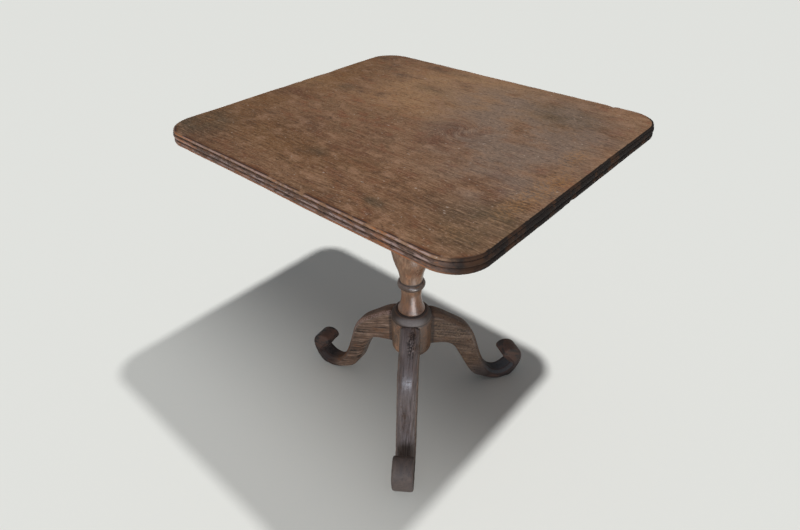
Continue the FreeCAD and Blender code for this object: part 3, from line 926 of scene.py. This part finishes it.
def layered_wood(name, base, patterns, layers, gloss, relief, shine=0.5, turn=None):
    """Wood from a base colour, a table of patterns and a table of layers.

    gloss holds the roughness where patches are low and where they are high. relief holds a
    depth in mm and each pattern's share of it. shine is the strength of the mirror light. turn
    is given for the plain nodes only, and turns their own axes to the fibre.
    """
    made, tree, shader = new_material(name)
    if turn is None:
        place = add(tree, "Attribute", attribute_name="grain").outputs["Vector"]
    else:
        place = add(tree, "TexCoord").outputs["Object"]
        to_millimetres = (1000, 1000, 1000)
        place = add(tree, "Mapping", {"Vector": place, "Rotation": turn,
                                      "Scale": to_millimetres}).outputs[0]
    sway_scale = [1 / length for length in sway_size]
    wide = add(tree, "VectorMath", {0: place, 1: sway_scale}, operation="MULTIPLY")
    sway = add(tree, "TexNoise", {"Vector": wide.outputs[0], "Scale": 1.0, "Detail": 1.0})
    swayed = add(tree, "VectorMath", {0: sway.outputs["Color"], 1: (0, sway_reach, sway_reach), 2: place},
                 operation="MULTIPLY_ADD").outputs[0]
    sources = {}
    for pattern, (size, detail, roughness) in patterns.items():
        scale = [1 / length for length in size]
        shrunk = add(tree, "VectorMath", {0: swayed, 1: scale}, operation="MULTIPLY")
        noise = add(tree, "TexNoise", {"Vector": shrunk.outputs[0], "Scale": 1.0, "Detail": detail,
                                       "Roughness": roughness})
        sources[pattern] = noise.outputs["Fac"]
    colour = linear(base)
    for tone, strength, *shown in layers:
        for source, absent, full in shown:
            if source not in sources:
                sources[source] = add(tree, "Attribute", attribute_name=source).outputs["Fac"]
            ramp = add(tree, "MapRange", {"Value": sources[source], "From Min": absent, "From Max": full,
                                          "To Max": strength}, interpolation_type="SMOOTHSTEP")
            strength = ramp.outputs["Result"]
        colour = lay_over(tree, strength, colour, linear(tone))
    tree.links.new(colour, shader.inputs["Base Color"])
    rough = add(tree, "MapRange", {"Value": sources["patches"], "From Min": patches_low,
                                   "From Max": patches_high, "To Min": gloss[0], "To Max": gloss[1]})
    end_grain = add(tree, "Attribute", attribute_name="end").outputs["Fac"]
    rough = add(tree, "MapRange", {"Value": end_grain, "To Min": rough.outputs["Result"],
                                   "To Max": end_grain_roughness})
    tree.links.new(rough.outputs["Result"], shader.inputs["Roughness"])
    shader.inputs["Specular IOR Level"].default_value = shine
    height = 0.0
    for pattern, share in relief[1].items():
        height = add(tree, "Math", {0: sources[pattern], 1: share, 2: height},
                     operation="MULTIPLY_ADD").outputs[0]
    bump = add(tree, "Bump", {"Height": height, "Strength": 1.0, "Distance": relief[0] * MILLIMETRE})
    tree.links.new(bump.outputs["Normal"], shader.inputs["Normal"])
    print(name, "has", len(layers), "layers and", len(tree.nodes), "nodes")
    return made


# %% [markdown]
# ## The finish of the top
#
# The board was oiled and waxed for generations. Brown and olive patches lie side by side, the
# front half shows fine parallel streaks, and dark oil has gathered along the rim. Its stains are
# fields of the mesh, from the table of stains. Cut across the grain, the ends drink oil and turn
# nearly black and dull. The rubbed crests of the beads are pale and pinkish, and their lowest
# arris, which hands lift the table by, is worn down to the orange of fresh wood.

# %% Finish of the top
top_patterns = {  # size in mm along, across and through the plank; detail; roughness
    "streaks": ((46, 2.6, 2.6), 3, 0.7),
    "fibres": ((7, 2.2, 2.2), 3, 0.7),
    "patches": ((74, 46, 46), 5, 0.62),
    "warmth": ((34, 22, 22), 3, 0.6),
    "specks": ((5.5, 3.6, 3.6), 3, 0.7),
    "flecks": ((6, 3.2, 3.2), 0, 0.5),
    "clouds": ((120, 70, 70), 3, 0.5),
    "marks": ((15, 4, 2.2), 3, 0.75),
}
top_layers = (
    ("#866649", 0.85, ("patches", 0.54, 0.38)),
    ("#573e2b", 0.90, ("patches", 0.52, 0.70)),
    ("#65452f", 0.60, ("clouds", 0.50, 0.66)),
    ("#a47b5a", 0.40, ("clouds", 0.50, 0.36)),
    ("#8b563a", 0.75, ("warmth", 0.48, 0.70)),
    ("#64462f", 0.42, ("front", -0.2, 0.7)),
    ("#7d5420", 0.48, ("gold", 0.0, 0.9)),
    # painted sheen at the back of the top
    ("#bd946a", 0.58, ("pale_painted_sheen", 0.0, 0.9), ("patches", 0.80, 0.46)),
    ("#a27b60", 0.60, ("warmth", 0.50, 0.30)),
    # grey over the right half: bloom in the wax and painted sheen
    ("#7f6e62", 0.80, ("grey", 0.0, 0.9), ("patches", 0.72, 0.42)),
    ("#46402f", 0.80, ("dusk", 0.05, 0.9), ("patches", 0.25, 0.60)),
    ("#6a4432", 0.75, ("umber", 0.05, 0.9), ("warmth", 0.30, 0.60)),
    ("#9c6c36", 0.60, ("amber", 0.10, 1.0), ("specks", 0.42, 0.60)),
    ("#4b3625", 0.65, ("streaks", 0.50, 0.36), ("front", -1.6, 1.0), ("warmth", 0.30, 0.54)),
    ("#a9876a", 0.42, ("streaks", 0.52, 0.66), ("front", -1.6, 1.0)),
    ("#503a28", 0.50, ("fibres", 0.48, 0.32)),
    ("#a98768", 0.45, ("fibres", 0.53, 0.70)),
    ("#3a2b1e", 0.60, ("specks", 0.45, 0.28)),
    ("#b19380", 0.50, ("specks", 0.56, 0.74)),
    ("#bda99b", 0.75, ("flecks", 0.80, 0.88)),
    ("#5c3216", 0.70, ("rim", 0.1, 0.9), ("warmth", 0.36, 0.56)),
    ("#2c2526", 0.85, ("scribed", 0.0, 0.7), ("warmth", 0.36, 0.50)),
    ("#59443a", 0.80, ("side", 0.1, 0.6)),
    ("#251a14", 0.80, ("side", 0.1, 0.6), ("marks", 0.49, 0.36)),
    ("#8c5833", 0.80, ("side", 0.1, 0.6), ("marks", 0.53, 0.66)),
    ("#a98f86", 0.85, ("worn", 0.2, 0.9), ("warmth", 0.40, 0.54), ("marks", 0.38, 0.50)),
    ("#a86637", 0.80, ("worn", 0.15, 0.8), ("patches", 0.52, 0.62), ("marks", 0.62, 0.50)),
    ("#96552a", 0.80, ("lift", 0.15, 0.8), ("warmth", 0.30, 0.46)),
    ("#17100c", 0.98, ("end", 0.0, 0.7)),
    ("#4a2f1b", 0.60, ("end", 0.05, 0.6), ("patches", 0.50, 0.62)),
    ("#261d19", 0.75, ("groove", 0.2, 0.9), ("marks", 0.66, 0.44)),
)
top_wood = layered_wood("oiled_top_board", "#8e6748", top_patterns, top_layers, gloss=(0.62, 0.42),
                        relief=(0.5, {"fibres": 1.0, "streaks": 0.5, "specks": 0.8}), shine=0.28)
table_top.data.materials.append(top_wood)

# %% [markdown]
# ## The finish of the pillar
#
# The turning was waxed on the lathe, and it is the smoothest wood of the table, so it takes clear
# highlights. Hands carry such a table by its waist and have darkened it. Dirt sits in the grooves,
# on the hub and on the shoulder, and the hub is darker still on its right side. The front of the
# shoulder has a painted highlight, a dull grey band. The faces of the ring and the collar that look
# up are grey, partly dust and partly a painted sheen.

# %% Finish of the pillar
pillar_patterns = {
    "streaks": ((90, 3.4, 3.4), 2, 0.6),
    "fibres": ((16, 1.8, 1.8), 2, 0.6),
    "patches": ((60, 26, 26), 4, 0.6),
    "warmth": ((30, 14, 14), 4, 0.6),
    "specks": ((4, 3, 3), 2, 0.7),
}
pillar_layers = (
    ("#ab8568", 0.50, ("patches", 0.50, 0.66)),
    ("#6c4630", 0.60, ("patches", 0.50, 0.34)),
    ("#a8653a", 0.35, ("warmth", 0.50, 0.70)),
    ("#5c3c2a", 0.40, ("streaks", 0.50, 0.36)),
    ("#b8957a", 0.25, ("streaks", 0.54, 0.68)),
    ("#4a2a17", 0.66, ("held", 0.1, 0.9)),
    ("#8f5a31", 0.40, ("held", 0.1, 0.9), ("warmth", 0.40, 0.56)),
    ("#4a3829", 0.65, ("hub", 0.2, 0.9), ("warmth", 0.66, 0.44)),
    ("#2f2520", 0.75, ("hub", 0.2, 0.9), ("specks", 0.46, 0.32)),
    # the hub darker, with flecks, towards its right side
    ("#4c2f1a", 0.60, ("hub_right_darker", 0.1, 0.8), ("patches", 0.20, 0.46)),
    ("#8a6446", 0.50, ("hub_right_darker", 0.1, 0.8), ("specks", 0.54, 0.66)),
    ("#2b211a", 0.90, ("shoulder", 0.15, 0.8)),
    # painted highlight on the front of the shoulder
    ("#756b66", 0.85, ("painted_shoulder_highlight", 0.2, 0.9)),
    ("#352a24", 0.80, ("ring", 0.2, 0.8)),
    ("#4a3223", 0.30, ("fibres", 0.46, 0.32)),
    ("#2a1c14", 0.45, ("specks", 0.38, 0.28)),
    # dust and a painted sheen on the faces that look up
    ("#77716e", 0.55, ("dust_and_sheen", 0.10, 0.60), ("warmth", 0.34, 0.56)),
    ("#2d2622", 0.88, ("groove", 0.1, 0.9)),
)
pillar_wood = layered_wood("waxed_turned_wood", "#7d5b41", pillar_patterns, pillar_layers,
                           gloss=(0.24, 0.40), relief=(0.10, {"fibres": 1.0, "streaks": 0.8}))
pillar.data.materials.append(pillar_wood)

# %% [markdown]
# ## The finish of the legs
#
# The planks of the legs are sawn so that the fibre falls outwards, and it shows as fine dark lines
# on their sides. The back of the front leg is greyish, partly dust and partly a painted sheen, with
# pits by the hub. Bare wood shows along the arrises. Near the floor, mop water has turned the
# scrolls of the other two dark, nearly black, with reddish brown where they are rubbed. The right
# leg is blotched, it has an old nail hole, and its scroll has a cool painted sheen. The chamfer of
# the left leg is pale. A painted shade darkens the corner between each leg and the hub.

# %% Finish of the legs
leg_patterns = {
    "streaks": ((80, 3.6, 9), 3, 0.6),
    "back_lines": ((70, 34, 2.0), 3, 0.6),
    "fibres": ((16, 1.8, 5), 2, 0.6),
    "patches": ((50, 24, 24), 4, 0.6),
    "warmth": ((30, 16, 16), 4, 0.6),
    "specks": ((5, 3.4, 3.4), 2, 0.7),
}
leg_layers = (
    ("#8a6c57", 0.55, ("patches", 0.50, 0.66)),
    ("#463429", 0.60, ("patches", 0.50, 0.34)),
    ("#85542f", 0.45, ("warmth", 0.52, 0.70)),
    ("#2c1f18", 0.90, ("streaks", 0.50, 0.38), ("back", 0.7, 0.1)),
    ("#ab8e78", 0.60, ("streaks", 0.52, 0.66), ("back", 0.7, 0.1)),
    ("#33251c", 0.55, ("fibres", 0.47, 0.33), ("back", 0.7, 0.1)),
    ("#3a2a20", 0.55, ("darker", 0.0, 1.0)),
    ("#95795c", 0.46, ("darker", 0.1, 0.8), ("specks", 0.50, 0.66), ("patches", 0.64, 0.44)),
    ("#231914", 0.45, ("darker", 0.1, 0.8), ("specks", 0.46, 0.32)),
    # grey of dust and painted sheen on the back of the front leg
    ("#68605f", 0.76, ("dusty_with_sheen", 0.05, 0.70), ("patches", 0.25, 0.50)),
    ("#3a2f29", 0.62, ("back_lines", 0.51, 0.38), ("dusty_with_sheen", 0.3, 0.9)),
    ("#9a8f8c", 0.42, ("back_lines", 0.54, 0.68), ("dusty_with_sheen", 0.3, 0.9)),
    ("#1d1613", 0.85, ("pits", 0.05, 0.7), ("specks", 0.56, 0.44)),
    ("#a3948a", 0.60, ("pits", 0.05, 0.7), ("specks", 0.58, 0.68)),
    ("#7d6b60", 0.40, ("worn", 0.2, 0.9), ("warmth", 0.40, 0.60)),
    ("#a88b80", 0.55, ("pale", 0.2, 0.9), ("specks", 0.40, 0.58)),
    ("#5b514c", 0.92, ("low", 0.20, 0.72)),
    ("#2f2623", 0.80, ("soaked", 0.15, 0.70)),
    ("#553a2d", 0.60, ("soaked", 0.15, 0.70), ("patches", 0.50, 0.62)),
    ("#5f4234", 0.60, ("curl", 0.1, 0.9), ("warmth", 0.40, 0.56)),
    ("#1f1916", 0.60, ("soaked", 0.10, 0.70), ("warmth", 0.52, 0.36)),
    # painted sheen: a cool grey-blue reflection in the scroll of the right leg
    ("#464e52", 0.34, ("darker", 0.1, 0.7), ("soaked", 0.15, 0.50), ("back", 0.0, 0.7), ("curl", 0.9, 0.1)),
    ("#331c14", 0.60, ("worn", 0.2, 0.9), ("soaked", 0.15, 0.60)),
    # painted shade in the corner at the hub
    ("#2a201b", 0.65, ("painted_corner_shade", 0.1, 0.9)),
    ("#1b1512", 0.50, ("specks", 0.40, 0.28)),
    ("#120e0c", 0.95, ("nail", 0.3, 0.7)),
)
leg_wood = layered_wood("worn_leg_plank", "#6b5140", leg_patterns, leg_layers, gloss=(0.24, 0.46),
                        relief=(0.4, {"fibres": 1.0, "streaks": 1.0, "back_lines": 0.8}), shine=0.32)
for leg in legs.values():
    leg.data.materials.append(leg_wood)

# %% [markdown]
# ## Under the top
#
# Nobody polished what nobody sees. The bearers, the blocks and the pegs are bare sawn wood, dry,
# dull and dusty, and their iron screws have rusted brown.

# %% Finish of the pieces under the top
under_patterns = {
    "streaks": ((70, 3, 3), 2, 0.6),
    "fibres": ((12, 1.8, 1.8), 2, 0.6),
    "patches": ((50, 26, 26), 4, 0.6),
}
under_layers = (
    ("#82654c", 0.60, ("patches", 0.50, 0.68)),
    ("#46321f", 0.60, ("patches", 0.50, 0.34)),
    ("#3a2a1e", 0.60, ("streaks", 0.50, 0.36)),
    ("#33261c", 0.50, ("fibres", 0.46, 0.32)),
)
under_woods = {}
for axis_name, turn in (("x", (0, 0, 0)), ("y", (0, 0, np.pi / 2))):
    under_woods[axis_name] = layered_wood(
        "sawn_wood_along_" + axis_name, "#61492f", under_patterns, under_layers, gloss=(0.75, 0.6),
        relief=(0.5, {"fibres": 1.0, "streaks": 0.6}), turn=turn)
fibre_axes = {
    "bearer_left": "y", "bearer_right": "y", "tilt_block": "x", "button_block": "x", "turn_button": "x",
    "tenon_wedge": "y", "peg_front": "x", "peg_right": "x", "peg_left": "x",
}
for node_name, axis_name in fibre_axes.items():
    for material_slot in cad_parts[node_name].material_slots:
        material_slot.material = under_woods[axis_name]

# %% Rusted iron
rust_spot = 2.0
bare_below = 0.40
rusted_above = 0.60
iron, iron_tree, iron_shader = new_material("rusted_iron")
spot_place = add(iron_tree, "TexCoord").outputs["Object"]
spots = add(iron_tree, "TexNoise", {"Vector": spot_place, "Scale": 1 / (rust_spot * MILLIMETRE),
                                    "Detail": 3.0}).outputs["Fac"]
rust = add(iron_tree, "MapRange", {"Value": spots, "From Min": bare_below, "From Max": rusted_above})
metal = add(iron_tree, "MapRange", {"Value": spots, "From Min": bare_below, "From Max": rusted_above,
                                    "To Min": 1.0, "To Max": 0.1})
iron_colour = lay_over(iron_tree, rust.outputs["Result"], linear("#6c625c"), linear("#5a3523"))
iron_tree.links.new(iron_colour, iron_shader.inputs["Base Color"])
iron_tree.links.new(metal.outputs["Result"], iron_shader.inputs["Metallic"])
iron_shader.inputs["Roughness"].default_value = 0.6
for node_name in ("bearer_screws_left", "bearer_screws_right", "button_block_screws", "button_pivot_screw"):
    for material_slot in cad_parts[node_name].material_slots:
        material_slot.material = iron
print(iron.name, "has", len(iron_tree.nodes), "nodes")

# %% [markdown]
# ## The floor
#
# The table stands on a plain pale floor, so large that its far edge is never in view.

# %% Floor
floor_half = 30.0
floor_corners = [(-floor_half, -floor_half, 0), (floor_half, -floor_half, 0),
                 (floor_half, floor_half, 0), (-floor_half, floor_half, 0)]
floor_mesh = bpy.data.meshes.new("floor")
floor_mesh.from_pydata(floor_corners, [], [(0, 1, 2, 3)])
floor = bpy.data.objects.new("floor", floor_mesh)
bpy.context.scene.collection.objects.link(floor)
floor_paint, _, floor_shader = new_material("matte_floor_paint")
floor_shader.inputs["Base Color"].default_value = linear("#e8e9e4")
floor_shader.inputs["Roughness"].default_value = 0.9
floor_shader.inputs["Specular IOR Level"].default_value = 0.1
floor_mesh.materials.append(floor_paint)
print("floor:", 2 * floor_half, "m each way")

# %% [markdown]
# ## The light
#
# One lamp hangs 2.7 m above the floor, off the right end of the table, and throws the top's
# shadow to the left. The sky gives a soft light from all sides, and a cool window in front of the
# table gives the legs their bluish highlights. A white card beside the legs lights only the
# pillar, and only as a mirror image, so the turning gets its long highlight.
#
# A bare lamp would light the floor in a round pool, because its light thins out with distance and
# meets the floor aslant. In a picture of one object on a seamless floor the ground is even. So
# the floor has lamps of its own, whose strength grows with the slant by just as much as the floor
# loses: one over the cube of the downward part of the ray. One of them throws the shadow. The
# other throws none, and it grows towards the front by what the first one gives up, so the shadow
# is deep at the back and pale in front while the lit floor stays even.

# %% Sky, and what each lamp lights
world = bpy.data.worlds.new("studio")
bpy.context.scene.world = world
world.use_nodes = True
world.node_tree.nodes["Background"].inputs["Color"].default_value = linear("#f8faff")
world.node_tree.nodes["Background"].inputs["Strength"].default_value = 0.20

floor_only = bpy.data.collections.new("lit_by_the_floor_lamps")
floor_only.objects.link(floor)
all_but_floor = bpy.data.collections.new("lit_by_the_table_lamps")
all_but_floor.objects.link(floor)
all_but_floor.collection_objects[0].light_linking.link_state = "EXCLUDE"
pillar_only = bpy.data.collections.new("lit_by_the_card")
pillar_only.objects.link(pillar)
print("sky:", world.name)


# %% Lamps that light the floor evenly
floor_light = 0.745
lamp_place = Vector((0.655, 0.104, 2.662))
fade_back = 0.17
fade_front = -0.40
fade_depth = 0.39
flattest_ray = 0.15


def lamp(name, kind, place, target, receivers, **settings):
    """Lamp at a place in metres, turned to a target, that lights one collection."""
    data = bpy.data.lights.new(name, kind)
    for setting, value in settings.items():
        setattr(data, setting, value)
    made = bpy.data.objects.new(name, data)
    made.location = place
    made.rotation_euler = (place - target).to_track_quat("Z", "Y").to_euler()
    made.light_linking.receiver_collection = receivers
    made.visible_camera = False
    bpy.context.scene.collection.objects.link(made)
    return made


def even_floor_lamp(name, at_back, at_front, shadow):
    """Lamp that lights the floor evenly, but by one share at the back and another in front.

    At height h, a lamp of 1 W gives a matt floor 1 / (2 pi h) ** 2 of the floor's own colour, times
    the cube of the ray's downward part. So the share is divided by both.
    """
    made = lamp(name, "POINT", lamp_place, lamp_place - Vector((0, 0, 1)), floor_only, energy=1.0,
                shadow_soft_size=0.05, use_shadow=shadow)
    made.data.use_nodes = True
    tree = made.data.node_tree
    ray = add(tree, "SeparateXYZ", {0: add(tree, "TexCoord").outputs["Normal"]})
    down = add(tree, "Math", {0: ray.outputs["Z"]}, operation="ABSOLUTE").outputs[0]
    down = add(tree, "Math", {0: down, 1: flattest_ray}, operation="MAXIMUM").outputs[0]
    cube = add(tree, "Math", {0: down, 1: -3.0}, operation="POWER").outputs[0]
    aslant = add(tree, "Math", {0: ray.outputs["Y"], 1: down}, operation="DIVIDE").outputs[0]
    meets_y = add(tree, "Math", {0: aslant, 1: -lamp_place.z, 2: lamp_place.y},
                  operation="MULTIPLY_ADD").outputs[0]
    share = add(tree, "MapRange", {"Value": meets_y, "From Min": fade_back, "From Max": fade_front,
                                   "To Min": at_back, "To Max": at_front}, interpolation_type="SMOOTHSTEP")
    full = (2 * np.pi * lamp_place.z) ** 2
    power = add(tree, "Math", {0: share.outputs["Result"], 1: full}, operation="MULTIPLY").outputs[0]
    power = add(tree, "Math", {0: power, 1: cube}, operation="MULTIPLY").outputs[0]
    tree.links.new(power, tree.nodes["Emission"].inputs["Strength"])


even_floor_lamp("shadow_lamp", floor_light, floor_light - fade_depth, True)
even_floor_lamp("floor_fill", 0.0, fade_depth, False)
print("the floor's lamps hang at", tuple(round(value, 3) for value in lamp_place), "m")

# %% Lamps that light the table
lamp("key", "POINT", lamp_place, lamp_place - Vector((0, 0, 1)), all_but_floor, energy=88,
     shadow_soft_size=0.1, color=(1.0, 0.98, 0.95))
window_place = Vector((1.38, -2.20, 1.30))
lamp("window", "AREA", window_place, Vector((0, 0, 0.3)), all_but_floor, energy=44,
     shape="RECTANGLE", size=0.36, size_y=0.9, color=(0.78, 0.86, 1.0))
card_place = Vector((0.37, -0.20, 0.20))
card_target = Vector((stand_x, stand_y, 260.0)) * MILLIMETRE
card = lamp("white_card", "AREA", card_place, card_target, pillar_only, energy=3.3,
            shape="RECTANGLE", size=0.26, size_y=0.38, color=(0.92, 0.96, 1.0))
card.visible_diffuse = False
print("lamps:", len(bpy.data.lights))

# %% [markdown]
# ## The camera
#
# The camera stands 1.1 m high, off the right front corner, and looks down on the table.

# %% Camera
camera_place = (0.60855, -0.70925, 1.11450)
camera_turn = 132.184
camera_drop = 36.038
camera_roll = -1.0228
camera_data = bpy.data.cameras.new("camera")
camera_data.sensor_width = 36.0
camera_data.lens = 25.293
camera = bpy.data.objects.new("camera", camera_data)
bpy.context.scene.collection.objects.link(camera)
bpy.context.scene.camera = camera
camera.location = camera_place
look = Euler((np.radians(90 - camera_drop), 0, np.radians(camera_turn - 90))).to_matrix()
camera.rotation_euler = (look @ Matrix.Rotation(np.radians(camera_roll), 3, "Z")).to_euler()
bpy.context.scene.view_settings.view_transform = "Standard"
print("lens:", camera_data.lens, "mm")
